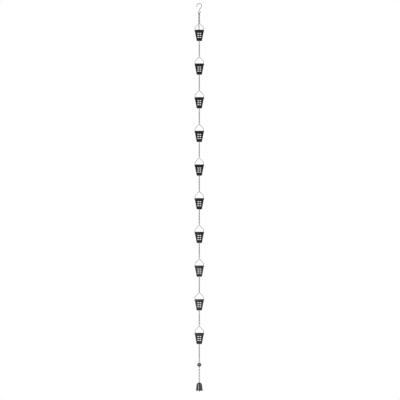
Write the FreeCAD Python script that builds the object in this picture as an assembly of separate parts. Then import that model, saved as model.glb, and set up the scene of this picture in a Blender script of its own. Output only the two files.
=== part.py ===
import FreeCAD, Part
import math
import os

# Rain chain: a wire hook for the gutter outlet, ten windowed cups on wire bails, welded chain between
# them, a wooden bead and a bell with a rod clapper. All sizes in millimetres.
# Frame: the origin is the inside top of the hook's crook, where it bears on the gutter strap.
# +Z is up, +X to the right across the hook's flat side, +Y away from the viewer.

V = FreeCAD.Vector
X_AXIS = V(1, 0, 0)
Z_AXIS = V(0, 0, 1)

# Hook
HOOK_WIRE = 3.3
HOOK_CROOK_RADIUS = 15.8        # centre line of the crook
HOOK_TIP_LENGTH = 9.0           # straight run below the crook on the open side
HOOK_TIP_SPLAY = 6.0            # degrees that the tip opens outwards
HOOK_WRAP = 36.0                # degrees the crook runs on past level before it slants back
HOOK_SHANK_BEND = 7.0           # where the slant turns down into the shank
HOOK_SHANK_LENGTH = 3.3         # straight run from that turn to the neck of the eye
HOOK_EYE_RADIUS = 6.8           # centre line of the eye

# Eyes bent in wire: how far the neck swings aside, and where the cut end stops short of the neck
EYE_NECK_TURN = 70.0
EYE_END = 138.0

# Chain link
LINK_WIRE = 2.2
LINK_INNER_LENGTH = 10.36
LINK_INNER_WIDTH = 4.5
LINK_PLAY = 0.15                # gap left where two links bear on each other
SEAT_PLAY = 0.2                 # gap left where a link bears on a wire, a pin or an eye

# Links in each run
HOOK_RUN_LINKS = 7
CUP_RUN_LINKS = 11
BEAD_RUN_LINKS = 12
BELL_RUN_LINKS = 9
SPARE_LINKS = 12

# Bail
BAIL_WIRE = 2.5
BAIL_RISE = 42.6                # rim of the cup to the wire's centre at the peak
BAIL_SHOULDER_RISE = 13.6       # rim of the cup to the corner at the shoulder
BAIL_SPAN = 57.9                # across the shoulders, wire centre to wire centre
BAIL_LEG_LEAN = 0.8             # how far each leg comes in from the shoulder to the ear
BAIL_PEAK_FLAT = 6.2            # between the two corners at the peak
BAIL_SHOULDER_BEND = 7.0
BAIL_PEAK_BEND = 4.6
BAIL_EAR_BEND = 1.7
BAIL_STUB = 2.6                 # how far the wire's end stands out of the collar

# Cup
CUP_COUNT = 10
CUP_HEIGHT = 75.1
CUP_WALL = 1.0
CUP_FLOOR = 1.0
CUP_BOTTOM_WIDTH = 34.7
CUP_SHOULDER_WIDTH = 58.6       # the tapered body, just under the collar
COLLAR_HEIGHT = 12.4
COLLAR_TOP_WIDTH = 62.9
COLLAR_WALL = 1.0
COLLAR_LAP = 1.0                # how far the side plates run up inside the collar band
COLLAR_SEAM = 0.2               # gap between plate and band at the band's lower edge
EAR_DROP = 8.0                  # rim to the centre of the ear holes
EAR_PLAY = 0.3                  # gap round the bail's wire in its hole
DRAIN_DIAMETER = 14.5

# Windows in each of the four faces
WINDOW_WIDTH = 9.4
WINDOW_HEIGHT = 4.9
WINDOW_COLUMN_PITCH = 14.6
WINDOW_ROW_PITCH = 13.6
WINDOW_COLUMNS = 2
WINDOW_ROWS = 3
WINDOW_TOP_DROP = 24.0          # rim to the centre of the top row

# Toggle pin on the cup's floor
PIN_DIAMETER = 3.0
PIN_LENGTH = 25.0
PIN_CHAMFER = 0.4
PIN_LIFT = 0.05                 # gap under the pin

# Bead and its wire
BEAD_DIAMETER = 27.7
BEAD_FLAT = 6.4                 # flat round each end of the bore
EYE_WIRE = 2.0
EYE_RADIUS = 3.0
EYE_STANDOFF = 0.2              # gap between an eye and the face that it stands on
BORE_PLAY = 0.3                 # gap round the wire in the bead's bore and the bell's crown

# Bell and clapper
BELL_HEIGHT = 56.0
BELL_DOME_RADIUS = 19.0
BELL_MOUTH_DIAMETER = 45.8
BELL_WALL = 1.8
BELL_LIP = 2.6                  # height of the thicker lip at the mouth
BELL_LIP_PROUD = 0.5            # how far the lip stands out of the wall inside
CLAPPER_DIAMETER = 3.3
CLAPPER_TAPER = 5.0             # length over which the rod narrows to its eye
CLAPPER_REACH = 9.6             # how far the rod hangs below the mouth

# The spare end of chain beside the first run
SPARE_SIDE = 2.4                # distance to the left of the first run
SPARE_PLAY = 0.4                # gap under its top link, which must clear the eye as it swings
SPARE_LEANS = (72.0, 10.0)      # degrees that its first links lean back, the rest hang plumb

link_bend = (LINK_INNER_WIDTH + LINK_WIRE) / 2      # centre line of a link's round end
link_reach = LINK_INNER_LENGTH + LINK_WIRE          # top wire centre to bottom wire centre
link_step = LINK_INNER_LENGTH - LINK_PLAY           # one link to the next in a tight run
crossing = LINK_WIRE + LINK_PLAY                    # between the centres of two wires that bear on each other


def line(start, end):
    return Part.LineSegment(start, end).toShape()


def arc(start, middle, end):
    return Part.Arc(start, middle, end).toShape()


def on_circle(centre, radius, degrees):
    """The point at an angle on a circle in the XZ plane, counted from +X towards +Z."""
    turn = math.radians(degrees)
    return centre + V(radius * math.cos(turn), 0, radius * math.sin(turn))


def arc_about(centre, radius, start, end):
    """An arc in the XZ plane between two angles in degrees."""
    angles = (start, (start + end) / 2, end)
    return arc(*(on_circle(centre, radius, angle) for angle in angles))


def bent_wire(edges, diameter):
    """A round wire swept along straight runs and tangent arcs that are listed in order."""
    first = edges[0]
    start = first.valueAt(first.FirstParameter)
    heading = first.tangentAt(first.FirstParameter)
    section = Part.Wire([Part.makeCircle(diameter / 2, start, heading)])
    return Part.Wire(edges).makePipeShell([section], True, False)


def rounded_path(corners, bends):
    """Straight runs through the corners, with each inner corner rounded to its own radius."""
    edges, here = [], corners[0]
    for before, corner, after, bend in zip(corners, corners[1:], corners[2:], bends):
        back = (before - corner).normalize()
        ahead = (after - corner).normalize()
        half = back.getAngle(ahead) / 2
        setback = bend / math.tan(half)
        middle = corner + (back + ahead).normalize() * (bend / math.sin(half) - bend)
        edges += [line(here, corner + back * setback)]
        edges += [arc(corner + back * setback, middle, corner + ahead * setback)]
        here = corner + ahead * setback
    return edges + [line(here, corners[-1])]


def eye_neck_bend(radius):
    """Radius of the neck bend that carries a wire from the eye's centre line onto its ring."""
    turn = math.radians(EYE_NECK_TURN)
    return radius * math.cos(turn) / (1 - math.cos(turn))


def eye_neck_height(radius):
    """Height above the eye's centre at which the neck starts to swing aside."""
    return (radius + eye_neck_bend(radius)) * math.sin(math.radians(EYE_NECK_TURN))


def eye_edges(centre, radius):
    """A centred eye in the XZ plane: the neck comes down, swings to +X and goes once round the ring."""
    bend = eye_neck_bend(radius)
    bend_centre = centre + V(bend, 0, eye_neck_height(radius))
    return [
        arc_about(bend_centre, bend, 180, 180 + EYE_NECK_TURN),
        arc_about(centre, radius, EYE_NECK_TURN, EYE_END - 360),
    ]


def reversed_edges(edges):
    """The same path walked from its other end."""
    turned = []
    for edge in reversed(edges):
        first, last = edge.FirstParameter, edge.LastParameter
        points = [edge.valueAt(t) for t in (last, (first + last) / 2, first)]
        turned.append(arc(*points))
    return turned


def turned_about_z(edges, degrees):
    return [edge.rotated(V(0, 0, 0), Z_AXIS, degrees) for edge in edges]


def upside_down(edges, height):
    """The path mirrored top to bottom by half a turn about the X line at a height."""
    return [edge.rotated(V(0, 0, height), X_AXIS, 180) for edge in edges]


def make_link():
    """One welded oval link, standing in the XZ plane with its centre at the origin."""
    side = (LINK_INNER_LENGTH - LINK_INNER_WIDTH) / 2
    top, bottom = V(0, 0, side), V(0, 0, -side)
    right, left = V(link_bend, 0, 0), V(-link_bend, 0, 0)
    return bent_wire([
        line(bottom + right, top + right),
        arc_about(top, link_bend, 0, 180),
        line(top + left, bottom + left),
        arc_about(bottom, link_bend, 180, 360),
    ], LINK_WIRE)


LINK = make_link()


def placed_link(top, turn, lean=0.0):
    """A link with its top wire centre at a point, turned about its length and leaning back."""
    link = LINK.copy()
    link.translate(V(0, 0, -link_reach / 2))
    link.rotate(V(0, 0, 0), Z_AXIS, turn)
    link.rotate(V(0, 0, 0), X_AXIS, lean)
    link.translate(top)
    return link


def run_drop(links, upper_wire, lower_wire):
    """Distance from the wire that carries a run of links to the wire that hangs from it."""
    bearings = upper_wire / 2 + lower_wire / 2 + 2 * SEAT_PLAY
    return links * LINK_INNER_LENGTH - (links - 1) * LINK_PLAY - bearings


def make_run(links, height, upper_wire, first_turn, last_turn):
    """A tight run of links below a wire. It twists evenly from its first link's plane to its last one's."""
    top = height + upper_wire / 2 + SEAT_PLAY + LINK_WIRE / 2
    crossed = 90.0 * (links - 1)
    twist = (last_turn - first_turn - crossed + 90.0) % 180.0 - 90.0
    step = 90.0 + twist / (links - 1)
    return Part.makeCompound([
        placed_link(V(0, 0, top - i * link_step), first_turn + i * step) for i in range(links)
    ])


def make_hook():
    """Tip, crook, slant back to the centre line, shank and eye, bent from one wire, and the eye's height."""
    crook = V(0, 0, HOOK_WIRE / 2 - HOOK_CROOK_RADIUS)
    splay, wrap = math.radians(HOOK_TIP_SPLAY), math.radians(HOOK_WRAP)
    tip_top = on_circle(crook, HOOK_CROOK_RADIUS, 180 - HOOK_TIP_SPLAY)
    tip = tip_top + V(-math.sin(splay), 0, -math.cos(splay)) * HOOK_TIP_LENGTH
    slant_top = on_circle(crook, HOOK_CROOK_RADIUS, -HOOK_WRAP)
    shank_corner = V(0, 0, slant_top.z - slant_top.x / math.tan(wrap))
    neck = shank_corner - V(0, 0, HOOK_SHANK_BEND * math.tan(wrap / 2) + HOOK_SHANK_LENGTH)
    eye = neck - V(0, 0, eye_neck_height(HOOK_EYE_RADIUS))
    edges = [
        line(tip, tip_top),
        arc_about(crook, HOOK_CROOK_RADIUS, 180 - HOOK_TIP_SPLAY, -HOOK_WRAP),
    ]
    edges += rounded_path([slant_top, shank_corner, neck], [HOOK_SHANK_BEND])
    edges += eye_edges(eye, HOOK_EYE_RADIUS)
    round_tip = Part.makeSphere(HOOK_WIRE / 2, tip)
    return bent_wire(edges, HOOK_WIRE).fuse(round_tip), eye.z


def make_bail(rim):
    """A house-shaped handle whose legs go down inside the collar and out through the ear holes."""
    half = BAIL_SPAN / 2
    foot = half - BAIL_LEG_LEAN
    ear = rim - EAR_DROP
    end = collar_half_width(EAR_DROP) + BAIL_STUB
    right = [
        V(BAIL_PEAK_FLAT / 2, 0, rim + BAIL_RISE),
        V(half, 0, rim + BAIL_SHOULDER_RISE),
        V(foot, 0, ear),
        V(end, 0, ear),
    ]
    left = [V(-p.x, 0, p.z) for p in reversed(right)]
    bends = [BAIL_PEAK_BEND, BAIL_SHOULDER_BEND, BAIL_EAR_BEND]
    path = rounded_path(left + right, bends[::-1] + bends)
    return bent_wire(path, BAIL_WIRE)


def collar_half_width(drop):
    """Half the collar band's outside width at a distance below the rim."""
    low = CUP_SHOULDER_WIDTH / 2 + COLLAR_SEAM + COLLAR_WALL
    return COLLAR_TOP_WIDTH / 2 + (low - COLLAR_TOP_WIDTH / 2) * drop / COLLAR_HEIGHT


def plate_half_width(drop):
    """Half the outside width across the side plates at a distance below the rim."""
    taper = (CUP_SHOULDER_WIDTH - CUP_BOTTOM_WIDTH) / 2 / (CUP_HEIGHT - COLLAR_HEIGHT)
    return CUP_SHOULDER_WIDTH / 2 - taper * (drop - COLLAR_HEIGHT)


def six_sided(low_ring, high_ring):
    """The solid between two rings of four points, each ring flat."""
    faces = [Part.Face(Part.makePolygon(ring + ring[:1])) for ring in (low_ring, high_ring)]
    for i in range(4):
        j = (i + 1) % 4
        side = [low_ring[i], low_ring[j], high_ring[j], high_ring[i], low_ring[i]]
        faces.append(Part.Face(Part.makePolygon(side)))
    solid = Part.Solid(Part.Shell(faces))
    if solid.Volume < 0:
        solid.reverse()
    return solid


def square_block(low_half, high_half, low, high):
    """A square block that widens from bottom to top."""
    signs = ((1, 1), (-1, 1), (-1, -1), (1, -1))
    return six_sided(*([V(sx * half, sy * half, z) for sx, sy in signs]
                       for half, z in ((low_half, low), (high_half, high))))


def window_cutters(rim):
    """Bars through the back plate, one for each window."""
    depth = COLLAR_TOP_WIDTH / 2
    cutters = []
    for column in range(WINDOW_COLUMNS):
        across = (column - (WINDOW_COLUMNS - 1) / 2) * WINDOW_COLUMN_PITCH
        for row in range(WINDOW_ROWS):
            height = rim - WINDOW_TOP_DROP - row * WINDOW_ROW_PITCH
            corner = V(across - WINDOW_WIDTH / 2, 0, height - WINDOW_HEIGHT / 2)
            cutters.append(Part.makeBox(WINDOW_WIDTH, depth, WINDOW_HEIGHT, corner))
    return cutters


def make_cup(rim):
    """Four windowed side plates, mitred where they are welded together, and a floor plate with a drain hole."""
    bottom_drop, top_drop = CUP_HEIGHT, COLLAR_HEIGHT - COLLAR_LAP

    def ring(drop):
        out, z = plate_half_width(drop), rim - drop
        inner = out - CUP_WALL
        return [V(-out, out, z), V(out, out, z), V(inner, inner, z), V(-inner, inner, z)]

    plate = six_sided(ring(bottom_drop), ring(top_drop)).cut(window_cutters(rim))
    sides = [plate.rotated(V(0, 0, 0), Z_AXIS, 90.0 * turn) for turn in range(4)]
    bottom, floor_drop = rim - bottom_drop, bottom_drop - CUP_FLOOR
    floor = square_block(plate_half_width(bottom_drop) - CUP_WALL,
                         plate_half_width(floor_drop) - CUP_WALL, bottom, rim - floor_drop)
    drain = Part.makeCylinder(DRAIN_DIAMETER / 2, 2 * CUP_FLOOR, V(0, 0, bottom - CUP_FLOOR / 2))
    return Part.makeCompound([solid for piece in sides + [floor.cut(drain)] for solid in piece.Solids])


def make_collar(rim):
    """A band bent round the top of the side plates, with a hole on the left and right for the bail."""
    low, ledge = collar_half_width(COLLAR_HEIGHT), rim - COLLAR_HEIGHT
    top = collar_half_width(0)
    band = square_block(low, top, ledge, rim)
    mouth = square_block(low - COLLAR_WALL, top - COLLAR_WALL, ledge, rim)
    ears = Part.makeCylinder(
        BAIL_WIRE / 2 + EAR_PLAY, 2 * COLLAR_TOP_WIDTH, V(-COLLAR_TOP_WIDTH, 0, rim - EAR_DROP), X_AXIS)
    return band.cut([mouth, ears])


def make_pin(height):
    """A round bar with chamfered ends, lying front to back across the drain hole."""
    pin = Part.makeCylinder(PIN_DIAMETER / 2, PIN_LENGTH, V(0, -PIN_LENGTH / 2, height), V(0, 1, 0))
    rings = [e for e in pin.Edges if abs(abs(e.CenterOfMass.y) - PIN_LENGTH / 2) < PIN_CHAMFER / 2]
    return pin.makeChamfer(PIN_CHAMFER, rings)


def make_spare():
    """The loose end: its top link shares the hook's eye, and the rest hangs behind the first run."""
    ring = HOOK_EYE_RADIUS
    rise = ring - math.sqrt(ring ** 2 - SPARE_SIDE ** 2)
    slope = math.asin(SPARE_SIDE / ring)
    bearing = HOOK_WIRE / 2 / math.cos(slope) + math.tan(slope) * LINK_WIRE / 2
    leans = [SPARE_LEANS[i] if i < len(SPARE_LEANS) else 0.0 for i in range(SPARE_LINKS)]
    downs = [V(0, math.sin(math.radians(a)), -math.cos(math.radians(a))) for a in leans]
    top = V(-SPARE_SIDE, 0, hang_height + rise) - downs[0] * (bearing + SPARE_PLAY + LINK_WIRE / 2)
    links = []
    for i, down in enumerate(downs):
        links.append(placed_link(top, 90.0 * (i + 1), leans[i]))
        after = downs[min(i + 1, SPARE_LINKS - 1)]
        bearing_way = (down + after).normalize() * (link_bend - crossing)
        if i % 2 == 0:      # a crosswise wire hangs in this link's bend
            top = top + down * (link_reach - link_bend) + bearing_way
        else:               # the next link's bend hangs on this link's crosswise wire
            top = top + down * link_reach + bearing_way - after * link_bend
    return Part.makeCompound(links)


def make_bead(centre):
    """A turned ball with a bore along Z and a small flat round each end of it."""
    radius, flat = BEAD_DIAMETER / 2, BEAD_FLAT / 2
    bore = EYE_WIRE / 2 + BORE_PLAY
    top, bottom = V(0, 0, centre + bead_half_height), V(0, 0, centre - bead_half_height)
    out = X_AXIS
    profile = Part.Wire([
        line(bottom + out * bore, bottom + out * flat),
        arc(bottom + out * flat, V(radius, 0, centre), top + out * flat),
        line(top + out * flat, top + out * bore),
        line(top + out * bore, bottom + out * bore),
    ])
    return Part.Face(profile).revolve(V(0, 0, 0), Z_AXIS, 360)


def make_double_eye(upper, lower, upper_turn, lower_turn):
    """A straight wire between two eyes, given by their centre heights and the turn of their planes."""
    neck = eye_neck_height(EYE_RADIUS)
    above = upside_down(eye_edges(V(0, 0, upper), EYE_RADIUS), upper)
    below = eye_edges(V(0, 0, lower), EYE_RADIUS)
    path = turned_about_z(reversed_edges(above), upper_turn)
    path += [line(V(0, 0, upper - neck), V(0, 0, lower + neck))]
    path += turned_about_z(below, lower_turn)
    return bent_wire(path, EYE_WIRE)


def make_bell(crown):
    """A round dome that runs on into a straight flare, of even wall, with a lip inside its mouth."""
    mouth = crown - BELL_HEIGHT

    def flare(dome, half_mouth):
        """Angle at which a line from the mouth's edge touches the dome."""
        reach, drop = half_mouth, BELL_HEIGHT - BELL_DOME_RADIUS
        far = math.hypot(reach, drop)
        return math.acos(dome / far) - math.atan2(drop, reach)

    def side(dome, half_mouth):
        """The dome's arc from the crown, then the tangent line down to the mouth."""
        centre = V(0, 0, crown - BELL_DOME_RADIUS)
        touch = math.degrees(flare(dome, half_mouth))
        foot = on_circle(centre, dome, touch)
        edge = V(half_mouth, 0, mouth)
        return arc_about(centre, dome, 90, touch), foot, edge

    outer_arc, outer_foot, outer_edge = side(BELL_DOME_RADIUS, BELL_MOUTH_DIAMETER / 2)
    inner_arc, inner_foot, inner_edge = side(BELL_DOME_RADIUS - BELL_WALL, BELL_MOUTH_DIAMETER / 2 - BELL_WALL)
    lean = (inner_foot - inner_edge).normalize()
    lip_top = inner_edge + lean * (2 * BELL_LIP)
    lip_full = inner_edge + lean * BELL_LIP - X_AXIS * BELL_LIP_PROUD
    profile = Part.Wire([
        outer_arc,
        line(outer_foot, outer_edge),
        line(outer_edge, inner_edge - X_AXIS * BELL_LIP_PROUD),
        line(inner_edge - X_AXIS * BELL_LIP_PROUD, lip_full),
        line(lip_full, lip_top),
        line(lip_top, inner_foot),
        inner_arc,
        line(V(0, 0, crown - BELL_WALL), V(0, 0, crown)),
    ])
    bell = Part.Face(profile).revolve(V(0, 0, 0), Z_AXIS, 360)
    bore = Part.makeCylinder(EYE_WIRE / 2 + BORE_PLAY, 3 * BELL_WALL, V(0, 0, crown - 2 * BELL_WALL))
    return bell.cut(bore)


def make_clapper(eye, tip):
    """A rod with a round end whose top narrows to a wire and is bent into an eye across the hanger's."""
    neck = eye - eye_neck_height(EYE_RADIUS)
    ring = upside_down(eye_edges(V(0, 0, eye), EYE_RADIUS), eye)
    thin, thick = EYE_WIRE / 2, CLAPPER_DIAMETER / 2
    start, full, end = V(0, 0, neck), V(0, 0, neck - CLAPPER_TAPER), V(0, 0, tip + thick)
    round_end = arc_about(end, thick, 0, -90)
    profile = Part.Wire([
        line(start, start + X_AXIS * thin),
        line(start + X_AXIS * thin, full + X_AXIS * thick),
        line(full + X_AXIS * thick, end + X_AXIS * thick),
        round_end,
        line(V(0, 0, tip), start),
    ])
    rod = Part.Face(profile).revolve(V(0, 0, 0), Z_AXIS, 360)
    return bent_wire(reversed_edges(ring), EYE_WIRE).fuse(rod).removeSplitter()


# Heights, from the hook down. A link in the XZ plane has turn 0, and one in the YZ plane has turn 90.
hook, hook_eye = make_hook()
hang_height = hook_eye - HOOK_EYE_RADIUS            # wire at the bottom of the hook's eye
peak_heights, rim_heights, pin_heights = [], [], []
carrier, carrier_wire, links = hang_height, HOOK_WIRE, HOOK_RUN_LINKS
for cup in range(CUP_COUNT):
    peak_heights.append(carrier - run_drop(links, carrier_wire, BAIL_WIRE))
    rim_heights.append(peak_heights[-1] - BAIL_RISE)
    pin_heights.append(rim_heights[-1] - CUP_HEIGHT + CUP_FLOOR + PIN_LIFT + PIN_DIAMETER / 2)
    carrier, carrier_wire, links = pin_heights[-1], PIN_DIAMETER, CUP_RUN_LINKS

eye_seat = EYE_RADIUS + EYE_WIRE / 2 + EYE_STANDOFF     # eye's centre to the face that it stands on
bead_half_height = math.sqrt((BEAD_DIAMETER / 2) ** 2 - (BEAD_FLAT / 2) ** 2)
bead_top_wire = pin_heights[-1] - run_drop(BEAD_RUN_LINKS, PIN_DIAMETER, EYE_WIRE)
bead_top_eye = bead_top_wire - EYE_RADIUS
bead_centre = bead_top_eye - eye_seat - bead_half_height
bead_bottom_eye = bead_centre - bead_half_height - eye_seat
bead_bottom_wire = bead_bottom_eye - EYE_RADIUS
bell_wire = bead_bottom_wire - run_drop(BELL_RUN_LINKS, EYE_WIRE, EYE_WIRE)
bell_top_eye = bell_wire - EYE_RADIUS
bell_crown = bell_top_eye - eye_seat
hanger_eye = bell_crown - BELL_WALL - eye_seat
clapper_wire = hanger_eye - EYE_RADIUS                  # bottom of the hanger's inner eye
clapper_eye = clapper_wire + EYE_WIRE + SEAT_PLAY - EYE_RADIUS
clapper_tip = bell_crown - BELL_HEIGHT - CLAPPER_REACH


def build():
    """Every piece by its node name, from the hook down."""
    pieces = {"gutter_hook": hook, "spare_chain": make_spare()}
    pieces["chain_01"] = make_run(HOOK_RUN_LINKS, hang_height, HOOK_WIRE, 90, 90)
    for number in range(1, CUP_COUNT + 1):
        rim, pin = rim_heights[number - 1], pin_heights[number - 1]
        pieces[f"bail_{number:02d}"] = make_bail(rim)
        pieces[f"cup_{number:02d}"] = make_cup(rim)
        pieces[f"collar_{number:02d}"] = make_collar(rim)
        pieces[f"toggle_pin_{number:02d}"] = make_pin(pin)
        if number < CUP_COUNT:
            pieces[f"chain_{number + 1:02d}"] = make_run(CUP_RUN_LINKS, pin, PIN_DIAMETER, 0, 90)
    pieces["bead_chain"] = make_run(BEAD_RUN_LINKS, pin_heights[-1], PIN_DIAMETER, 0, 0)
    pieces["bead_eye_pin"] = make_double_eye(bead_top_eye, bead_bottom_eye, 90, 0)
    pieces["bead"] = make_bead(bead_centre)
    pieces["bell_chain"] = make_run(BELL_RUN_LINKS, bead_bottom_wire, EYE_WIRE, 90, 90)
    pieces["bell_hanger"] = make_double_eye(bell_top_eye, hanger_eye, 0, 90)
    pieces["bell"] = make_bell(bell_crown)
    pieces["clapper"] = make_clapper(clapper_eye, clapper_tip)
    return pieces


os.makedirs("parts", exist_ok=True)
for node, shape in build().items():
    shape.exportStep(f"parts/{node}.step")
    print(f"{node}: {len(shape.Solids)} solids, {shape.Volume:.1f} mm3, valid {shape.isValid()}")
print(f"clapper tip {clapper_tip:.1f}, cup pitch {rim_heights[0] - rim_heights[1]:.2f}")
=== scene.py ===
# %% [markdown]
# # A rain chain, dressed
# A rain chain leads water from a gutter down to the ground. This one is a wire hook, ten square cups on
# wire bails, welded chain between them, a wooden bead and a bell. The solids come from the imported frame,
# so every piece below is worked out in the same place and at the same size, and then given a finer
# surface and a finish of its own.

# %% Load the frame
import math

import bpy
import numpy as np
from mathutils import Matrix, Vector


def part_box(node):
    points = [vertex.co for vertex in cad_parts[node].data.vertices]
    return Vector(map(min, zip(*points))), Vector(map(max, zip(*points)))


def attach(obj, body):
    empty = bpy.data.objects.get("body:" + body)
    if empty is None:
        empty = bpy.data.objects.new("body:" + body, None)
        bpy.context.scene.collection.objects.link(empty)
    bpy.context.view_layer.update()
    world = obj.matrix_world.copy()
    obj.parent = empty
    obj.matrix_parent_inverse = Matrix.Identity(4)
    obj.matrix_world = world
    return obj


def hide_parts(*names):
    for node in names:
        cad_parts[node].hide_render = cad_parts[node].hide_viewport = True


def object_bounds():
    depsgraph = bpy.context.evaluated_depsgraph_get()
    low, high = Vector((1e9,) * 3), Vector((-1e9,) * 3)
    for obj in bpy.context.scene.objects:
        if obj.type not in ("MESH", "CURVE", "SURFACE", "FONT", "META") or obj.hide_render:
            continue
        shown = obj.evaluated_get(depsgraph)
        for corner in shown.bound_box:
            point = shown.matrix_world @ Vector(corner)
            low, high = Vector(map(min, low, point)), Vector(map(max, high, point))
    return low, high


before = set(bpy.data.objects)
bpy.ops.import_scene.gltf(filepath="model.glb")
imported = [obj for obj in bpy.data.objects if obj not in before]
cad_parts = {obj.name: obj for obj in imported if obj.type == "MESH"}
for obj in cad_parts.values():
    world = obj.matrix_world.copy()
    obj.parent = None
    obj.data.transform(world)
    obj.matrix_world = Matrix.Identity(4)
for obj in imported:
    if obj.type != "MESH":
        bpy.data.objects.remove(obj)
cad_low, cad_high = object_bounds()
MM = 0.001
CUP_COUNT = sum(node.startswith("cup_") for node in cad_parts)
CUP_NUMBERS = range(1, CUP_COUNT + 1)

# %% [markdown]
# ## From a grid of points to a mesh
# Almost everything on this object is a profile carried along a path: wire, links, the turned bead, the
# spun bell. Blender can make such a form from a bevelled curve or with a Screw modifier. Here the points
# are worked out as one numpy array instead, because then each row lies exactly where a bend, a weld or
# the edge of a window needs it. One helper numbers the corners of the quads, one hands the arrays to
# Blender, and one says which solid of the frame a finished piece stands for.

# %% Quads of a grid
def grid_quads(rows, columns, wrap_rows=False):
    """Corner numbers of the quads between neighbouring points of a grid, as one array.

    The point in row r and column c has the number r * columns + c. A row runs round, so its last point
    joins its first. The last row joins the first row only when the rows wrap too.
    """
    row = np.arange(rows if wrap_rows else rows - 1)[:, None]
    column = np.arange(columns)[None, :]
    next_row, next_column = (row + 1) % rows, (column + 1) % columns
    corners = [row * columns + column, row * columns + next_column,
               next_row * columns + next_column, next_row * columns + column]
    return np.stack(corners, axis=-1).reshape(-1, 4)


print("a tube of 3 rings with 8 points each has", len(grid_quads(3, 8)), "quads")

# %% Mesh objects
SHARP_DEGREES = 40.0


def mesh_piece(name, points, faces, sharp_degrees=SHARP_DEGREES):
    """A shown object at the origin, shaded smooth except at edges that turn by more than an angle."""
    mesh = bpy.data.meshes.new(name)
    mesh.from_pydata(np.asarray(points).reshape(-1, 3).tolist(), [], [list(map(int, f)) for f in faces])
    mesh.update()
    mesh.shade_smooth()
    mesh.set_sharp_from_angle(angle=math.radians(sharp_degrees))
    piece = bpy.data.objects.new(name, mesh)
    bpy.context.scene.collection.objects.link(piece)
    return piece


def dress(piece, node, body, material):
    """The piece stands for a solid, moves with its body and takes its finish."""
    piece.data.materials.append(material)
    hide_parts(node)
    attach(piece, body)


def triangles(piece):
    """The sum of (corners - 2) over the faces, which is how many triangles they split into."""
    return sum(len(p.vertices) - 2 for p in piece.data.polygons)


print("edges that turn by more than", SHARP_DEGREES, "degrees stay sharp")

# %% [markdown]
# ## Finishes
# A finish is a small tree of nodes that ends in a Principled shader. It could be a painted image, but noise
# and waves that are worked out at each point stay sharp close up and need no unwrapping. Each finish reads
# Object coordinates, so its grain stays on the piece when the piece moves. Noise seldom leaves the middle
# of its range, so the finishes stretch that middle part.

# %% Node helpers
def new_material(name):
    """An empty material with a Principled shader, and functions that add nodes and link them to it."""
    material = bpy.data.materials.new(name)
    material.use_nodes = True
    tree = material.node_tree
    tree.nodes.clear()
    output = tree.nodes.new("ShaderNodeOutputMaterial")
    shader = tree.nodes.new("ShaderNodeBsdfPrincipled")
    tree.links.new(shader.outputs["BSDF"], output.inputs["Surface"])

    def add(kind, inputs=None, **settings):
        """A new node, whose inputs are links where a socket is given and plain values elsewhere."""
        node = tree.nodes.new(kind)
        for key, value in settings.items():
            setattr(node, key, value)
        for key, value in (inputs or {}).items():
            if isinstance(value, bpy.types.NodeSocket):
                tree.links.new(value, node.inputs[key])
            else:
                node.inputs[key].default_value = value
        return node

    def connect(socket, entry):
        """A link from a node to one entry of the shader."""
        tree.links.new(socket, shader.inputs[entry])

    return material, shader, add, connect


print("materials so far:", len(bpy.data.materials))

# %% Ramps and ranges
NOISE_SPAN = (0.3, 0.7)
WHOLE_SPAN = (0.0, 1.0)


def ramp(add, factor, positions, colours):
    """A colour that runs evenly from one colour to the next as the factor passes their positions."""
    node = add("ShaderNodeValToRGB", {"Fac": factor})
    elements = node.color_ramp.elements
    for position in positions[1:-1]:
        elements.new(position)
    for element, position, colour in zip(elements, positions, colours):
        element.position = position
        element.color = (*colour, 1.0)
    return node.outputs["Color"]


def rescale(add, value, source, target):
    """The share of the source that the value has passed, times the target's width, plus its low end.

    The node clamps, so the result stays within the target.
    """
    node = add("ShaderNodeMapRange", {"Value": value, "From Min": source[0], "From Max": source[1],
                                      "To Min": target[0], "To Max": target[1]})
    return node.outputs["Result"]


print("noise is read from", NOISE_SPAN[0], "to", NOISE_SPAN[1])

# %% [markdown]
# ### Powder coat
# The cups and all the wire are powder coated: dry paint is baked on, which leaves a satin black that is
# very slightly pebbled, like orange peel, and a touch uneven in gloss. The pebbles could be moved points of
# the mesh, but they are much shallower than the sheet is thick, so a bump is enough.

# %% Powder coat
SOOT = (0.003, 0.003, 0.0035)
CHARCOAL = (0.008, 0.008, 0.009)
SATIN_SPECULAR = 0.2


def powder_coat(name, gloss, peel_size, peel_depth):
    """Satin paint: tone, roughness and height each follow a noise of their own, from coarse to fine."""
    material, shader, add, connect = new_material(name)
    place = add("ShaderNodeTexCoord").outputs["Object"]
    clouds = add("ShaderNodeTexNoise", {"Vector": place, "Scale": 55.0, "Detail": 5.0, "Roughness": 0.6})
    connect(ramp(add, clouds.outputs["Fac"], NOISE_SPAN, (SOOT, CHARCOAL)), "Base Color")
    patches = add("ShaderNodeTexNoise", {"Vector": place, "Scale": 140.0, "Detail": 3.0})
    connect(rescale(add, patches.outputs["Fac"], NOISE_SPAN, gloss), "Roughness")
    peel = add("ShaderNodeTexNoise", {"Vector": place, "Scale": 1.0 / peel_size, "Detail": 2.0})
    bump = add("ShaderNodeBump", {"Height": peel.outputs["Fac"], "Strength": 0.35, "Distance": peel_depth})
    connect(bump.outputs["Normal"], "Normal")
    shader.inputs["Specular IOR Level"].default_value = SATIN_SPECULAR
    return material


CUP_COAT = powder_coat("cup_powder_coat", gloss=(0.38, 0.52), peel_size=0.9 * MM, peel_depth=0.05 * MM)
WIRE_COAT = powder_coat("wire_powder_coat", gloss=(0.34, 0.48), peel_size=0.6 * MM, peel_depth=0.03 * MM)
print("powder coats:", CUP_COAT.name, "and", WIRE_COAT.name)

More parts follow.
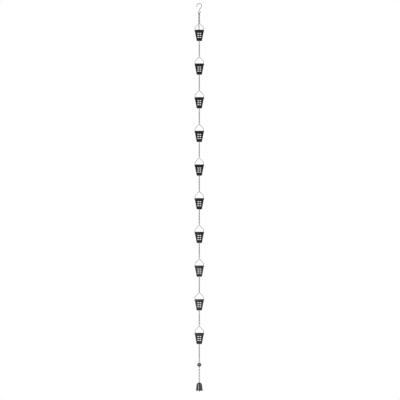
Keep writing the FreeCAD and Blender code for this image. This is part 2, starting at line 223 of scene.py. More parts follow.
# %% [markdown]
# ### Turned wood
# The bead is dark oiled wood, turned with the grain along its bore. A Wave texture in rings gives the growth
# bands of a tree whose heart lies beside the bead, and a noise drawn out along the grain gives the open
# pores. Plain noise alone would be quicker, but it has no direction and looks like stone.

# %% Turned wood
BAND_TONES = ((0.046, 0.025, 0.024), (0.072, 0.042, 0.040), (0.094, 0.057, 0.054))
BAND_STOPS = (0.0, 0.45, 1.0)
HEART_OFFSET = (0.021, 0.012)
BAND_STRETCH, PORE_STRETCH = 0.22, 0.07
PORE_SPAN, PORE_SHADE = (0.36, 0.52), (0.55, 1.0)
WOOD_GLOSS = (0.42, 0.56)
WOOD_SPECULAR = 0.4


def turned_wood(name, centre_height):
    """Band colour times pore shade, where the height is squeezed so that both patterns run along the bore."""
    material, shader, add, connect = new_material(name)
    place = add("ShaderNodeTexCoord").outputs["Object"]
    centred = add("ShaderNodeMapping", {"Vector": place, "Location": (*HEART_OFFSET, -centre_height)})
    along = add("ShaderNodeMapping", {"Vector": centred.outputs["Vector"], "Scale": (1.0, 1.0, BAND_STRETCH)})
    bands = add("ShaderNodeTexWave", {"Vector": along.outputs["Vector"], "Scale": 62.0, "Distortion": 5.5,
                                      "Detail": 3.0, "Detail Scale": 1.6},
                wave_type="RINGS", rings_direction="Z")
    tone = ramp(add, bands.outputs["Fac"], BAND_STOPS, BAND_TONES)
    fine = add("ShaderNodeMapping", {"Vector": centred.outputs["Vector"], "Scale": (1.0, 1.0, PORE_STRETCH)})
    pores = add("ShaderNodeTexNoise", {"Vector": fine.outputs["Vector"], "Scale": 1500.0, "Detail": 3.0})
    depth = rescale(add, pores.outputs["Fac"], PORE_SPAN, PORE_SHADE)
    shade = add("ShaderNodeVectorMath", {0: tone, "Scale": depth}, operation="SCALE")
    connect(shade.outputs["Vector"], "Base Color")
    connect(rescale(add, bands.outputs["Fac"], WHOLE_SPAN, WOOD_GLOSS), "Roughness")
    bump = add("ShaderNodeBump", {"Height": depth, "Strength": 0.5, "Distance": 0.06 * MM})
    connect(bump.outputs["Normal"], "Normal")
    shader.inputs["Specular IOR Level"].default_value = WOOD_SPECULAR
    return material


print(f"wood: bands in {len(BAND_TONES)} tones, drawn out {1 / BAND_STRETCH:.1f} times along the bore")

# %% [markdown]
# ### Bell coat
# The bell is spun metal under a glossy black coat, with faint rings left by the spinning tool. The rings
# could be cut into the profile, but they are only hundredths of a millimetre deep, so they are a noise that
# changes fast up the height and hardly at all across it.

# %% Bell coat
INK, SLATE = (0.005, 0.005, 0.006), (0.010, 0.009, 0.012)
BELL_GLOSS = (0.14, 0.21)
BELL_SPECULAR = 0.45
RING_STRETCH = 0.02


def bell_coat(name):
    """Glossy black: one soft noise sets tone and roughness, and a noise squeezed across sets the rings."""
    material, shader, add, connect = new_material(name)
    place = add("ShaderNodeTexCoord").outputs["Object"]
    clouds = add("ShaderNodeTexNoise", {"Vector": place, "Scale": 70.0, "Detail": 4.0})
    connect(ramp(add, clouds.outputs["Fac"], NOISE_SPAN, (INK, SLATE)), "Base Color")
    connect(rescale(add, clouds.outputs["Fac"], NOISE_SPAN, BELL_GLOSS), "Roughness")
    stretched = add("ShaderNodeMapping", {"Vector": place, "Scale": (RING_STRETCH, RING_STRETCH, 1.0)})
    rings = add("ShaderNodeTexNoise", {"Vector": stretched.outputs["Vector"], "Scale": 900.0, "Detail": 2.0})
    bump = add("ShaderNodeBump", {"Height": rings.outputs["Fac"], "Strength": 0.25, "Distance": 0.03 * MM})
    connect(bump.outputs["Normal"], "Normal")
    shader.inputs["Specular IOR Level"].default_value = BELL_SPECULAR
    return material


BELL_COAT = bell_coat("bell_gloss_coat")
print("bell coat:", BELL_COAT.name, "with", len(BELL_COAT.node_tree.nodes), "nodes")

# %% [markdown]
# ## Welded links
# Each link is a short length of wire bent into an oval, with its ends butted on one long side and welded,
# which leaves a small swelling there. A torus that is pulled apart would do from a distance, but it has no
# weld. Here the centre line is a straight side, a half circle, the other side and a half circle, and the
# section is a circle that stands square to it, so one formula gives the whole link.

# %% Link sizes
LINK_WIRE = 2.2 * MM
LINK_INNER_LENGTH = 10.36 * MM
LINK_INNER_WIDTH = 4.5 * MM
LINK_PLAY = 0.15 * MM
LINK_STEP = LINK_INNER_LENGTH - LINK_PLAY
LINK_REACH = LINK_INNER_LENGTH + LINK_WIRE
LINK_BEND = (LINK_INNER_WIDTH + LINK_WIRE) / 2
LINK_CROSSING = LINK_WIRE + LINK_PLAY
print(f"links: {(LINK_REACH + LINK_WIRE) / MM:.2f} mm long, one every {LINK_STEP / MM:.2f} mm")

# %% One link
BEND_STEPS = 12
LINK_SIDES = 12
WELD_SWELL = 0.13
WELD_HALF_LENGTH = 0.8 * MM
WELD_STATIONS = np.array([-1.0, -0.45, 0.45, 1.0])
WELD_RISE = np.array([0.0, 1.0, 1.0, 0.0])


def link_grid():
    """Points of one link with its top wire centre at the origin, hanging down in the XZ plane.

    A row is centre line + radius * (cos(v) * outward + sin(v) * sideways), for v once round the wire.
    """
    half_side = (LINK_INNER_LENGTH - LINK_INNER_WIDTH) / 2
    top = np.linspace(0, math.pi, BEND_STEPS)
    bottom = np.linspace(math.pi, 2 * math.pi, BEND_STEPS)
    weld = WELD_STATIONS * WELD_HALF_LENGTH
    outward_angle = np.concatenate([top, bottom, np.full(weld.size, 2 * math.pi)])
    lift = np.concatenate([np.full(BEND_STEPS, half_side), np.full(BEND_STEPS, -half_side), weld])
    swell = np.concatenate([np.ones(2 * BEND_STEPS), 1 + WELD_SWELL * WELD_RISE])
    outward = np.stack([np.cos(outward_angle), np.zeros_like(lift), np.sin(outward_angle)], axis=-1)
    centre = LINK_BEND * outward
    centre[:, 2] += lift - LINK_REACH / 2
    round_wire = np.linspace(0, 2 * math.pi, LINK_SIDES, endpoint=False)
    radius = (LINK_WIRE / 2 * swell)[:, None, None]
    across = np.cos(round_wire)[None, :, None] * outward[:, None, :]
    sideways = np.sin(round_wire)[None, :, None] * np.array([0.0, 1.0, 0.0])
    return centre[:, None, :] + radius * (across + sideways)


LINK = link_grid()
LINK_QUADS = grid_quads(LINK.shape[0], LINK.shape[1], wrap_rows=True)
print("one link:", LINK.shape[0], "rows of", LINK.shape[1], "points,", len(LINK_QUADS), "quads")

# %% [markdown]
# ## Runs of chain
# In a hanging chain each link stands across the one above it. An Array modifier could repeat the link, but
# it needs a helper object for the turn of each run, and it can't lean single links. So a run is the same
# grid set at a list of tops, turned and leaned by lists of angles, all in one sum of arrays.

# %% Many links at once
def place_links(tops, turns, leans):
    """The link turned about its length, then leaned back about X, then moved to its top, for all links.

    The turn mixes x and y by the cosine and sine of its angle, and the lean mixes y and z the same way.
    """
    tops, turns, leans = np.asarray(tops), np.radians(turns), np.radians(leans)
    cos_t, sin_t, cos_l, sin_l = (f[:, None, None] for f in
                                  (np.cos(turns), np.sin(turns), np.cos(leans), np.sin(leans)))
    x = cos_t * LINK[..., 0] - sin_t * LINK[..., 1]
    y = sin_t * LINK[..., 0] + cos_t * LINK[..., 1]
    z = LINK[..., 2]
    points = np.stack([x, cos_l * y - sin_l * z, sin_l * y + cos_l * z], axis=-1)
    return points + tops[:, None, None, :]


def chain_piece(name, tops, turns, leans):
    """One mesh of all links: link i has the quads of the first link plus i times the points of a link."""
    points = place_links(tops, turns, leans)
    per_link = LINK.shape[0] * LINK.shape[1]
    quads = (LINK_QUADS[None] + np.arange(len(tops))[:, None, None] * per_link).reshape(-1, 4)
    return mesh_piece(name, points, quads)


print("two links side by side:", place_links(np.eye(3)[:2], [0.0, 0.0], [0.0, 0.0]).shape, "array")

# %% Straight runs
QUARTER_TURN, HALF_TURN = 90.0, 180.0
CROSSWISE, ALONG = 0.0, QUARTER_TURN


def straight_run(node, first_turn, last_turn):
    """A plumb run that fills the height of its solid.

    The number of links is the height, less one link, over the step, plus one. Each link turns a quarter from
    the last, plus an even share of the twist that brings the lowest link to its seat's plane. A link looks
    the same after half a turn, so the twist is never more than a quarter.
    """
    low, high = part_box(node)
    count = round((high[2] - low[2] - LINK_REACH - LINK_WIRE) / LINK_STEP) + 1
    tops = np.zeros((count, 3))
    tops[:, 2] = high[2] - LINK_WIRE / 2 - LINK_STEP * np.arange(count)
    missing = last_turn - first_turn - QUARTER_TURN * (count - 1)
    twist = (missing + QUARTER_TURN) % HALF_TURN - QUARTER_TURN
    turns = first_turn + np.arange(count) * (QUARTER_TURN + twist / (count - 1))
    return chain_piece(node + "_links", tops, turns, np.zeros(count))


# The seats above and below a run set the planes of its first and last links.
runs = {"chain_01": (ALONG, ALONG), "bead_chain": (CROSSWISE, CROSSWISE), "bell_chain": (ALONG, ALONG)}
runs.update({f"chain_{number:02d}": (CROSSWISE, ALONG) for number in CUP_NUMBERS[1:]})
for node, (first, last) in runs.items():
    dress(straight_run(node, first, last), node, node, WIRE_COAT)
print("runs of chain:", len(runs))

# %% [markdown]
# ## The spare end of chain
# Chain is sold by the length, so a loose end is left on the hook. Its top link lies over the ring of the
# eye and leans back over the first run, and from the third link on it hangs plumb. A physics simulation
# could let it fall, but two leaning links are easily worked out: each link starts where the one above
# bears on it, which depends on whether the upper link lies along or across the bend.

# %% Spare chain
SPARE_LEANS = (72.0, 10.0)
SPARE_LINKS = 12


def spare_run(node):
    """Tops of the links one below the other, then all moved to the low end and the back of the solid.

    An even link has its bend in the plane of the lean. The next top is the bend's centre plus the mean of
    both down directions times (bend's radius - crossing). Under an odd link the next one has its bend there,
    so the same step starts at the odd link's lower wire and then goes back up the next link by the radius.
    """
    low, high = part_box(node)
    leans = np.zeros(SPARE_LINKS)
    leans[:len(SPARE_LEANS)] = SPARE_LEANS
    slope = np.radians(leans)
    downs = np.stack([np.zeros(SPARE_LINKS), np.sin(slope), -np.cos(slope)], axis=-1)
    tops = np.zeros((SPARE_LINKS, 3))
    for i in range(SPARE_LINKS - 1):
        way = downs[i] + downs[i + 1]
        way *= (LINK_BEND - LINK_CROSSING) / np.linalg.norm(way)
        if i % 2 == 0:
            tops[i + 1] = tops[i] + downs[i] * (LINK_REACH - LINK_BEND) + way
        else:
            tops[i + 1] = tops[i] + downs[i] * LINK_REACH + way - downs[i + 1] * LINK_BEND
    turns = ALONG + QUARTER_TURN * np.arange(SPARE_LINKS)
    lowest = tops[-1, 2] - LINK_REACH - LINK_WIRE / 2
    hindmost = tops[len(SPARE_LEANS):, 1].max() + LINK_BEND + LINK_WIRE / 2
    tops += np.array([(low[0] + high[0]) / 2, high[1] - hindmost, low[2] - lowest])
    return chain_piece(node + "_links", tops, turns, leans)


dress(spare_run("spare_chain"), "spare_chain", "chain_01", WIRE_COAT)
print("spare chain:", SPARE_LINKS, "links")

# %% [markdown]
# ## Bent wire
# Each bail is one wire bent in a plane. A curve object with a round bevel would give the tube, but its cut
# ends stay sharp. So the path is straight runs with rounded corners, and a ring is carried along it: at each
# point it stands in the directions of the plane's normal and of the line across the path. The last rings
# shrink, which breaks the sharp edge of the cut end.

# %% Flat paths
WIRE_BEND_STEPS = 8


def arc_points(centre, radius, start, end, steps):
    """Centre + radius * (cos, sin) of evenly spaced angles, in degrees counted from +X towards +Z."""
    turn = np.radians(np.linspace(start, end, steps))
    return np.asarray(centre) + radius * np.stack([np.cos(turn), np.sin(turn)], axis=-1)


def rounded_points(corners, bends):
    """A line through the corners whose inner corners are arcs of the given radii.

    An arc's centre lies on the line that halves its corner, at the radius over the sine of half the angle.
    """
    corners = [np.asarray(c, dtype=float) for c in corners]
    parts = [corners[0][None]]
    for before, corner, after, bend in zip(corners, corners[1:], corners[2:], bends):
        back, ahead = before - corner, after - corner
        back, ahead = back / np.linalg.norm(back), ahead / np.linalg.norm(ahead)
        half = math.acos(np.clip(back @ ahead, -1, 1)) / 2
        middle = (back + ahead) / np.linalg.norm(back + ahead)
        centre = corner + middle * bend / math.sin(half)
        swing = np.linspace(-1, 1, WIRE_BEND_STEPS)[:, None] * (math.pi / 2 - half)
        across = (ahead - back) / np.linalg.norm(ahead - back)
        parts.append(centre - bend * (np.cos(swing) * middle - np.sin(swing) * across))
    return np.concatenate(parts + [corners[-1][None]])


print("a right angle with a bend of 1:", len(rounded_points([(0, 2), (0, 0), (2, 0)], [1])), "points")

# %% Wire along a flat path
WIRE_SIDES = 16
WIRE_CHAMFER = 0.25 * MM
CAP_SHARE = 0.01


def wire_piece(name, path, diameter):
    """A round wire along points (x, z) of a path in the XZ plane, with its two cut ends chamfered.

    A ring is centre + radius * (cos(v) * across + sin(v) * normal). Each end has three rings: a tiny one and
    a narrower one at the cut, and one of full radius a chamfer further in.
    """
    step = np.gradient(path, axis=0)
    ahead = step / np.linalg.norm(step, axis=1, keepdims=True)
    first = path[0] + ahead[0] * np.array([[0.0], [0.0], [WIRE_CHAMFER]])
    last = path[-1] - ahead[-1] * np.array([[WIRE_CHAMFER], [0.0], [0.0]])
    line = np.concatenate([first, path[1:-1], last])
    ahead = np.concatenate([ahead[[0, 0, 0]], ahead[1:-1], ahead[[-1, -1, -1]]])
    radius = np.full(len(line), diameter / 2)
    radius[[1, -2]] -= WIRE_CHAMFER
    radius[[0, -1]] = diameter / 2 * CAP_SHARE
    across = np.stack([ahead[:, 1], np.zeros(len(line)), -ahead[:, 0]], axis=-1)
    centre = np.stack([line[:, 0], np.zeros(len(line)), line[:, 1]], axis=-1)
    turn = np.linspace(0, 2 * math.pi, WIRE_SIDES, endpoint=False)
    normal = np.array([0.0, 1.0, 0.0])
    ring = np.cos(turn)[None, :, None] * across[:, None] + np.sin(turn)[None, :, None] * normal
    points = centre[:, None] + radius[:, None, None] * ring
    caps = np.arange(len(line) * WIRE_SIDES).reshape(len(line), WIRE_SIDES)[[0, -1]].tolist()
    return mesh_piece(name, points, list(grid_quads(len(line), WIRE_SIDES)) + [caps[0][::-1], caps[1]])


print("wire: rings of", WIRE_SIDES, "points, cut ends chamfered by", WIRE_CHAMFER / MM, "mm")

# %% [markdown]
# ## Bails
# A bail is the handle that a cup hangs by. Its wire springs outwards into the two ear holes of the band, goes
# up past the mouth, turns in at the shoulders and meets the chain at a short flat peak. One mesh could serve
# all ten, but every solid lies at its own height in the shared frame, so each bail is worked out in place:
# the frame gives its peak and the reach of its ends, and the bends between them are listed here.

# %% Bails
BAIL_WIRE = 2.5 * MM
BAIL_SHOULDER_RISE = 13.6 * MM
BAIL_SPAN = 57.9 * MM
BAIL_LEG_LEAN = 0.8 * MM
BAIL_PEAK_FLAT = 6.2 * MM
EAR_DROP = 8.0 * MM
BAIL_BENDS = (4.6 * MM, 7.0 * MM, 1.7 * MM)


def bail_piece(number):
    """The right half's corners from the peak to the end in the ear, and the same mirrored for the left."""
    node = f"bail_{number:02d}"
    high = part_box(node)[1]
    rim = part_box(f"collar_{number:02d}")[1][2]
    peak = high[2] - BAIL_WIRE / 2
    right = [(BAIL_PEAK_FLAT / 2, peak), (BAIL_SPAN / 2, rim + BAIL_SHOULDER_RISE),
             (BAIL_SPAN / 2 - BAIL_LEG_LEAN, rim - EAR_DROP), (high[0], rim - EAR_DROP)]
    left = [(-x, z) for x, z in reversed(right)]
    path = rounded_points(left + right, BAIL_BENDS[::-1] + BAIL_BENDS)
    return wire_piece(node + "_wire", path, BAIL_WIRE)


for number in CUP_NUMBERS:
    bail = bail_piece(number)
    dress(bail, f"bail_{number:02d}", f"bail_{number:02d}", WIRE_COAT)
print("bails:", CUP_COUNT, "wires of", triangles(bail), "triangles")

# %% [markdown]
# ## Sheet metal
# A cup is four flat plates and a floor, welded into a square bucket, with a band bent round its mouth. The
# windows, the ear holes and the drain are punched. Boolean cuts would leave long thin faces that shade
# badly, so each skin is a grid instead: columns run round the four sides and rows run down, on the edges
# of the windows, and a window is a block of quads left out. A Solidify modifier then gives the sheet its
# thickness and a Bevel breaks the punched edges.

# %% Rounded squares
CUP_SIDES = 4
CORNER_STEPS = 5


def square_rings(half, fixed, corner):
    """Points round rounded squares, one ring for each half width, as an array of rings x columns x 2.

    On a side the fixed columns keep their places and only the two outer ones follow the width. A corner is
    a quarter circle about a point that lies the corner's radius inside both sides.
    """
    flat = (half - corner)[:, None]
    along = np.concatenate([-flat, np.broadcast_to(fixed, (len(half), len(fixed))), flat], axis=1)
    out = np.broadcast_to(half[:, None], along.shape)
    turn = np.radians(np.linspace(0, QUARTER_TURN, CORNER_STEPS))[1:-1]
    out = np.concatenate([out, flat + corner * np.cos(turn)], axis=1)
    along = np.concatenate([along, flat + corner * np.sin(turn)], axis=1)
    quarters = [(out, along), (-along, out), (-out, -along), (along, -out)]
    return np.concatenate([np.stack(q, axis=-1) for q in quarters], axis=1)


def raised(rings, heights):
    """The flat rings with their heights as the third coordinate."""
    z = np.broadcast_to(np.asarray(heights)[:, None, None], (*rings.shape[:2], 1))
    return np.concatenate([rings, z], axis=-1)


print("a ring without fixed columns has", square_rings(np.ones(1), np.zeros(0), 0.1).shape[1], "points")

# %% Sheets
SHEET = 1.0 * MM
BROKEN_EDGE = 0.16 * MM
BROKEN_EDGE_STEPS = 2
SHEET_EDGE_DEGREES = 50.0


def sheet_piece(name, points, quads):
    """A skin given the thickness of the sheet on its inside, with its punched and cut edges broken."""
    piece = mesh_piece(name, points, quads[:, ::-1], sharp_degrees=SHEET_EDGE_DEGREES)
    thick = piece.modifiers.new("sheet", "SOLIDIFY")
    thick.thickness, thick.offset, thick.use_even_offset = SHEET, -1.0, True
    edge = piece.modifiers.new("broken_edge", "BEVEL")
    edge.width, edge.segments, edge.limit_method = BROKEN_EDGE, BROKEN_EDGE_STEPS, "ANGLE"
    edge.angle_limit = math.radians(SHEET_EDGE_DEGREES)
    edge.harden_normals = True
    return piece


print("sheet:", SHEET / MM, "mm thick, edges broken by", BROKEN_EDGE / MM, "mm")

# %% [markdown]
# ## Cups
# The four plates taper to a square floor with a round drain, through which the next run of chain hangs. The
# weld along each corner is dressed to a small radius. Five separate plates would need mitred edges that meet
# exactly. Here the rows run from under the band down the plates, over the corner and in to the drain, so
# that plates and floor are one skin with no seam to close.

# %% Cup sizes
COLLAR_HEIGHT = 12.4 * MM
COLLAR_LAP = 1.0 * MM
CUP_SHOULDER_HALF = 58.6 / 2 * MM
WINDOW_WIDTH, WINDOW_HEIGHT = 9.4 * MM, 4.9 * MM
WINDOW_COLUMN_PITCH, WINDOW_ROW_PITCH = 14.6 * MM, 13.6 * MM
WINDOW_TOP_DROP = 24.0 * MM
WINDOW_ROWS = 3
PLAIN_ROW_DROP = 17.0 * MM
WELD_ROUND = 0.7 * MM
WELD_STEPS = 4


def plate_rows(height, slope):
    """Drop below the rim and half width of each row, from under the band to the floor's outer edge.

    The half width is the shoulder's, less slope * drop below the shoulder. The last rows follow a quarter
    circle of the weld's radius, so there the drop stops short by 1 - sine and the width by 1 - cosine.
    """
    window = WINDOW_TOP_DROP + WINDOW_ROW_PITCH * np.arange(WINDOW_ROWS)
    edges = np.sort(np.concatenate([window - WINDOW_HEIGHT / 2, window + WINDOW_HEIGHT / 2]))
    bend = np.radians(np.linspace(0, QUARTER_TURN, WELD_STEPS))
    corner = height - WELD_ROUND * (1 - np.sin(bend))
    drop = np.concatenate([[COLLAR_HEIGHT - COLLAR_LAP, PLAIN_ROW_DROP], edges, corner])
    half = CUP_SHOULDER_HALF - slope * (drop - COLLAR_HEIGHT)
    half[-WELD_STEPS:] -= WELD_ROUND * (1 - np.cos(bend))
    return drop, half


print(f"windows: {WINDOW_ROWS} rows on each plate, {WINDOW_WIDTH / MM:.1f} x {WINDOW_HEIGHT / MM:.1f} mm")

# %% Side plates and floor
DRAIN_RADIUS = 7.25 * MM
FLOOR_SHARES = np.array([0.5, 0.9, 1.0])
FIRST_WINDOW_ROW = 2
WINDOW_SIDE_COLUMNS = (1, 4)


def cup_piece(number):
    """Plate rows, then floor rings at shares of the way from the outer edge to the drain's circle.

    From the first row of windows on, every second row of quads has windows.
    """
    node = f"cup_{number:02d}"
    low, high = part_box(node)
    rim = high[2] + COLLAR_HEIGHT - COLLAR_LAP
    height = rim - low[2]
    drop, half = plate_rows(height, (high[0] - CUP_SHOULDER_HALF) / COLLAR_LAP)
    inner, outer = (WINDOW_COLUMN_PITCH + WINDOW_WIDTH * np.array([-1, 1])) / 2
    wall = square_rings(half, np.array([-outer, -inner, 0.0, inner, outer]), WELD_ROUND)
    angle = np.arctan2(wall[-1, :, 1], wall[-1, :, 0])
    drain = DRAIN_RADIUS * np.stack([np.cos(angle), np.sin(angle)], axis=-1)
    floor = wall[-1] + FLOOR_SHARES[:, None, None] * (drain - wall[-1])
    points = raised(np.concatenate([wall, floor]), rim - np.append(drop, [height] * len(floor)))
    quads = grid_quads(*points.shape[:2])
    row, column = np.divmod(quads[:, 0], points.shape[1])
    side_column = column % (points.shape[1] // CUP_SIDES)
    window_rows = FIRST_WINDOW_ROW + 2 * np.arange(WINDOW_ROWS)
    punched = np.isin(row, window_rows) & np.isin(side_column, WINDOW_SIDE_COLUMNS)
    return sheet_piece(node + "_plates", points, quads[~punched])


for number in CUP_NUMBERS:
    cup = cup_piece(number)
    dress(cup, f"cup_{number:02d}", f"cup_{number:02d}", CUP_COAT)
print("cups:", CUP_COUNT, "skins of", triangles(cup), "triangles before thickness")

# %% [markdown]
# ## Collar bands
# The band stiffens the cup's mouth and carries the bail in its two ear holes. It is a ring of the same kind
# as the plates, with rounder corners, because it is bent and not welded. The ear holes are round, so the
# grid leaves out a small square there and a ring of quads joins the square's edge to a circle.

# %% The edge of an ear's square
EAR_RADIUS = 1.55 * MM
EAR_SQUARE_HALF = 2 * EAR_RADIUS
EAR_CELLS = 4
EAR_GRID = np.linspace(-1, 1, EAR_CELLS + 1) * EAR_SQUARE_HALF


def square_walk(cells):
    """(row, column) of the points once round a square block: along its top, down, back and up again."""
    go = np.arange(cells)
    near, far, back = np.zeros_like(go), np.full_like(go, cells), cells - go
    legs = [(near, go), (go, far), (far, back), (back, near)]
    return np.concatenate([np.column_stack(leg) for leg in legs])


EAR_WALK = square_walk(EAR_CELLS)
print("ear holes:", len(EAR_WALK), "points round each")

# %% Collar bands
COLLAR_SEAM = 0.2 * MM
BAND_ROUND = 1.3 * MM
BAND_PLAIN_DROP = 3.0 * MM
EAR_FIRST_ROW, EAR_FIRST_COLUMN = 2, 1
EAR_SIDES = {0: 1.0, 2: -1.0}


def band_piece(number):
    """Half width = the rim's + (the lower edge's - the rim's) * drop / height, with two ears left out.

    A point on an ear's circle is its centre + the ear's radius * the direction to the square's edge.
    """
    node = f"collar_{number:02d}"
    low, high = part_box(node)
    rim, height = high[2], high[2] - low[2]
    bottom_half = CUP_SHOULDER_HALF + COLLAR_SEAM + SHEET

    def half_at(drop):
        """The half width at a drop below the rim."""
        return high[0] + (bottom_half - high[0]) * drop / height

    drop = np.concatenate([[0.0, BAND_PLAIN_DROP], EAR_DROP + EAR_GRID, [height]])
    points = raised(square_rings(half_at(drop), EAR_GRID, BAND_ROUND), rim - drop)
    columns = points.shape[1]
    per_side = columns // CUP_SIDES
    quads = grid_quads(*points.shape[:2])
    row, column = np.divmod(quads[:, 0], columns)
    side, side_column = np.divmod(column, per_side)
    ear_row, ear_column = row - EAR_FIRST_ROW, side_column - EAR_FIRST_COLUMN
    in_ear = (ear_row >= 0) & (ear_row < EAR_CELLS) & (ear_column >= 0) & (ear_column < EAR_CELLS)
    quads, rings = [quads[~(in_ear & np.isin(side, list(EAR_SIDES)))]], [points.reshape(-1, 3)]
    centre = np.array([0.0, rim - EAR_DROP])
    for ear_side, sign in EAR_SIDES.items():
        first_column = ear_side * per_side + EAR_FIRST_COLUMN
        edge = (EAR_FIRST_ROW + EAR_WALK[:, 0]) * columns + first_column + EAR_WALK[:, 1]
        spoke = rings[0][edge, 1:] - centre
        ring = centre + EAR_RADIUS * spoke / np.linalg.norm(spoke, axis=1, keepdims=True)
        inner = sum(map(len, rings)) + np.arange(len(EAR_WALK))
        rings.append(np.column_stack([sign * half_at(rim - ring[:, 1]), ring]))
        quads.append(np.stack([edge, np.roll(edge, -1), np.roll(inner, -1), inner], axis=-1))
    return sheet_piece(node + "_band", np.concatenate(rings), np.concatenate(quads))


for number in CUP_NUMBERS:
    band = band_piece(number)
    dress(band, f"collar_{number:02d}", f"cup_{number:02d}", CUP_COAT)
print("collar bands:", CUP_COUNT, "skins of", triangles(band), "triangles before thickness")

# %% [markdown]
# ## Turned bead
# The bead is turned on a lathe: a profile of (radius, height) points goes round the chain's line. A UV sphere
# would give the ball, but not the bore. The bore has a rounded mouth at each end, where the wire would
# otherwise chafe, and the profile closes on itself, so the bead is one closed skin.

# %% Turned surfaces
TURN_STEPS = 72


def turned_piece(name, profile):
    """A closed profile carried round the Z axis: x = r cos(u), y = r sin(u), z as it is."""
    turn = np.linspace(0, 2 * math.pi, TURN_STEPS, endpoint=False)
    radius, height = profile[:, 0][:, None], profile[:, 1][:, None]
    points = np.stack([radius * np.cos(turn), radius * np.sin(turn),
                       np.broadcast_to(height, (len(profile), TURN_STEPS))], axis=-1)
    quads = grid_quads(len(profile), TURN_STEPS, wrap_rows=True)
    return mesh_piece(name, points, quads[:, ::-1])


print("turned pieces have", TURN_STEPS, "points round the axis")

# %% Bead
# The bore is the radius of the hole for the wire, here and in the bell's crown.
BORE = 1.3 * MM
BORE_MOUTH = 0.5 * MM
BALL_STEPS, MOUTH_STEPS = 41, 5

bead_low, bead_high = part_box("bead")
bead_centre = (bead_low[2] + bead_high[2]) / 2
bead_radius = bead_high[0]
half_bead = (bead_high[2] - bead_low[2]) / 2
pole = math.degrees(math.asin(half_bead / bead_radius))
ball = arc_points((0, 0), bead_radius, pole, -pole, BALL_STEPS)
mouth_centre = (BORE + BORE_MOUTH, half_bead - BORE_MOUTH)
mouth = arc_points(mouth_centre, BORE_MOUTH, HALF_TURN, QUARTER_TURN, MOUTH_STEPS)
bead_profile = np.concatenate([mouth, ball, mouth[::-1] * np.array([1, -1])])
bead_profile[:, 1] += bead_centre
bead = turned_piece("bead_ball", bead_profile)
dress(bead, "bead", "bead", turned_wood("bead_dark_wood", bead_centre))
print("bead:", triangles(bead), "triangles")

# %% [markdown]
# ## Spun bell
# The bell is pressed over a form while it spins, so it too is a profile carried round: a dome, a straight
# flare that touches it, and a thicker lip. The profile goes down the outside, round the lip and back up the
# inside. Solidify could make the wall from one line, but not the lip, which stands proud on the inside.

# %% Dome and flare
BELL_DOME = 19.0 * MM
BELL_WALL = 1.8 * MM
DOME_STEPS = 25

bell_low, bell_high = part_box("bell")
bell_mouth, bell_crown = bell_low[2], bell_high[2]
dome_centre = (0.0, bell_crown - BELL_DOME)


def bell_side(dome, half_mouth):
    """The dome's arc from the bore's edge to where the straight flare touches it, and the flare's foot.

    Seen from the dome's centre, the point of touch lies above the foot by the angle whose cosine is the
    dome's radius over the foot's distance.
    """
    drop = bell_crown - BELL_DOME - bell_mouth
    touch = math.acos(dome / math.hypot(half_mouth, drop)) - math.atan2(drop, half_mouth)
    start = math.degrees(math.acos(BORE / dome))
    arc = arc_points(dome_centre, dome, start, math.degrees(touch), DOME_STEPS)
    return arc, np.array([half_mouth, bell_mouth])


outer, outer_foot = bell_side(BELL_DOME, bell_high[0])
inner, inner_foot = bell_side(BELL_DOME - BELL_WALL, bell_high[0] - BELL_WALL)
print(f"bell: {(bell_crown - bell_mouth) / MM:.1f} mm tall, {2 * bell_high[0] / MM:.1f} mm across its mouth")

# %% Lip and shell
BELL_LIP = 2.6 * MM
BELL_LIP_PROUD = 0.5 * MM
LIP_ROUND = 0.35 * MM
LIP_CORNER = 0.3 * LIP_ROUND
LIP_FADE = (1.5 * BELL_LIP, 2.0 * BELL_LIP)
FLARE_STEPS = 14

rise = (inner[-1] - inner_foot) / np.linalg.norm(inner[-1] - inner_foot)
lip_edge = inner_foot - np.array([BELL_LIP_PROUD, 0.0])
# The lip's points go round the outer corner, across the mouth, up the proud edge and back into the wall.
lip = np.array([outer_foot + (0, LIP_ROUND), outer_foot + (-LIP_CORNER, LIP_CORNER),
                outer_foot - (LIP_ROUND, 0), lip_edge + (LIP_ROUND, 0), lip_edge + (0, LIP_ROUND),
                lip_edge + rise * BELL_LIP, *(inner_foot + rise * fade for fade in LIP_FADE)])
flare_share = np.linspace(0, 1, FLARE_STEPS)[1:-1, None]
outer_flare = outer[-1] + flare_share * (outer_foot - outer[-1])
bell = turned_piece("bell_shell", np.concatenate([outer, outer_flare, lip, inner[::-1]]))
dress(bell, "bell", "bell", BELL_COAT)
print("bell:", triangles(bell), "triangles")

# %% [markdown]
# ## Pieces that stay as they are
# The hook, the toggle pins, the eyes through the bead and the bell, and the clapper have their true shape
# already. They could be swept again as the bails are, but that would add nothing, so they keep their solids
# and only take the wire's finish.

# %% Finish for the solids that stay
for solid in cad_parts.values():
    if solid.visible_get() and not solid.hide_render:
        solid.data.materials.clear()
        solid.data.materials.append(WIRE_COAT)
print("solids kept:", sum(not o.hide_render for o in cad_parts.values()))

# %% [markdown]
# ## Floor
# The photograph is on plain white, with nothing under the chain. A pale floor lies just below the picture, so
# that views from above have a ground with a soft shadow on it. It is far larger than the chain, which keeps
# its edge out of sight, and a single quad is enough.

# %% Floor
FLOOR_GAP = 60 * MM
FLOOR_HALF = 12.0
FLOOR_TONE = 0.86
FLOOR_ROUGHNESS = 0.8
FLOOR_CORNERS = np.array([(-1, -1, 0), (1, -1, 0), (1, 1, 0), (-1, 1, 0)])

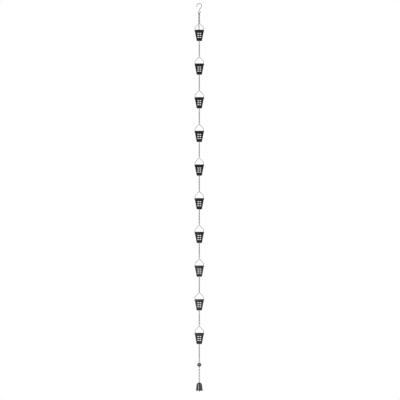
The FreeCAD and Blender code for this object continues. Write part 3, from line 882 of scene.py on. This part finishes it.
floor_height = cad_low[2] - FLOOR_GAP
floor = mesh_piece("floor", FLOOR_CORNERS * FLOOR_HALF + np.array([0, 0, floor_height]), [(0, 1, 2, 3)])
floor_material, floor_shader, _, _ = new_material("pale_floor")
floor_shader.inputs["Base Color"].default_value = (FLOOR_TONE, FLOOR_TONE, FLOOR_TONE, 1)
floor_shader.inputs["Roughness"].default_value = FLOOR_ROUGHNESS
floor.data.materials.append(floor_material)
print(f"floor at {floor_height:.3f} m")

# %% [markdown]
# ## World
# A white background could come from strong light, but that would wash out the object. The Light Path node
# tells the world which kind of ray asks. To the camera, and to reflections and see-through surfaces, the
# world is plain white, and to everything else it gives a little less light than white would.

# %% World
SOFT_LIGHT = 0.8
WHITE_LIGHT = 1.0

world = bpy.data.worlds.new("studio")
bpy.context.scene.world = world
world.use_nodes = True
world_nodes, world_links = world.node_tree.nodes, world.node_tree.links
world_nodes.clear()
rays = world_nodes.new("ShaderNodeLightPath")
shown = rays.outputs["Is Camera Ray"]
for kind in ("Is Glossy Ray", "Is Transmission Ray"):
    either = world_nodes.new("ShaderNodeMath")
    either.operation = "MAXIMUM"
    world_links.new(shown, either.inputs[0])
    world_links.new(rays.outputs[kind], either.inputs[1])
    shown = either.outputs[0]
strength = world_nodes.new("ShaderNodeMapRange")
strength.inputs["To Min"].default_value = SOFT_LIGHT
strength.inputs["To Max"].default_value = WHITE_LIGHT
world_links.new(shown, strength.inputs["Value"])
background = world_nodes.new("ShaderNodeBackground")
background.inputs["Color"].default_value = (1, 1, 1, 1)
world_links.new(strength.outputs["Result"], background.inputs["Strength"])
world_output = world_nodes.new("ShaderNodeOutputWorld")
world_links.new(background.outputs["Background"], world_output.inputs["Surface"])
print("world: soft light of", SOFT_LIGHT)

# %% [markdown]
# ## Lamps
# Black gloss shows its shape only by what it mirrors. Two upright strips are as tall as the chain, and two
# smaller lamps near the bell give its gloss the bright stripe on the left and the weaker one on the right.
# Point lamps would only make dots. A flared wall mirrors what stands above it, so these two lamps hang
# higher than the bell.

# %% Lamps
LAMP_SPREAD = 60
BELL_LAMP_RISE = 0.5


def strip_lamp(name, degrees, distance, size, height, power):
    """An upright lamp that faces the chain's line: x = distance * sin, y = -distance * cos of its angle.

    The angle is counted to the right from the camera's side.
    """
    lamp = bpy.data.lights.new(name, "AREA")
    lamp.shape, lamp.energy, lamp.spread = "RECTANGLE", power, math.radians(LAMP_SPREAD)
    lamp.size, lamp.size_y = size
    holder = bpy.data.objects.new(name, lamp)
    turn = math.radians(degrees)
    holder.location = (distance * math.sin(turn), -distance * math.cos(turn), height)
    holder.rotation_euler = (math.radians(QUARTER_TURN), 0, turn)
    bpy.context.scene.collection.objects.link(holder)


middle = (cad_low[2] + cad_high[2]) / 2
beside_bell = (bell_mouth + bell_crown) / 2 + BELL_LAMP_RISE
strip_lamp("strip_left", degrees=-32, distance=2.2, size=(0.35, 2.6), height=middle, power=2.4)
strip_lamp("strip_right", degrees=48, distance=2.4, size=(0.5, 2.6), height=middle, power=1.2)
strip_lamp("bell_left", degrees=-30, distance=1.2, size=(0.4, 0.5), height=beside_bell, power=3.2)
strip_lamp("bell_right", degrees=46, distance=1.2, size=(0.3, 0.3), height=beside_bell, power=1.0)
print("lamps:", {lamp.name: round(lamp.energy, 2) for lamp in bpy.data.lights})

# %% [markdown]
# ## Camera
# In the photograph the cups high up and low down are all seen level, from the side. A perspective camera
# would have to stand very far off for that, so this one is orthographic. Its scale is the size of one pixel
# of the photograph, and its place follows from the pixels on the chain's line and at the hook's seat.

# %% Camera
PIXEL = 6.666 * MM
FRAME_PIXELS = 400
LINE_PIXEL, SEAT_PIXEL = 199.3, 3.65
CAMERA_DISTANCE = 6.0

camera_data = bpy.data.cameras.new("camera")
camera_data.type = "ORTHO"
camera_data.ortho_scale = FRAME_PIXELS * PIXEL
camera = bpy.data.objects.new("camera", camera_data)
camera.location = ((FRAME_PIXELS / 2 - LINE_PIXEL) * PIXEL, -CAMERA_DISTANCE,
                   (SEAT_PIXEL - FRAME_PIXELS / 2) * PIXEL)
camera.rotation_euler = (math.radians(QUARTER_TURN), 0, 0)
bpy.context.scene.collection.objects.link(camera)
bpy.context.scene.camera = camera
bpy.context.scene.view_settings.view_transform = "Standard"
print(f"camera: {camera_data.ortho_scale:.3f} m across the picture")
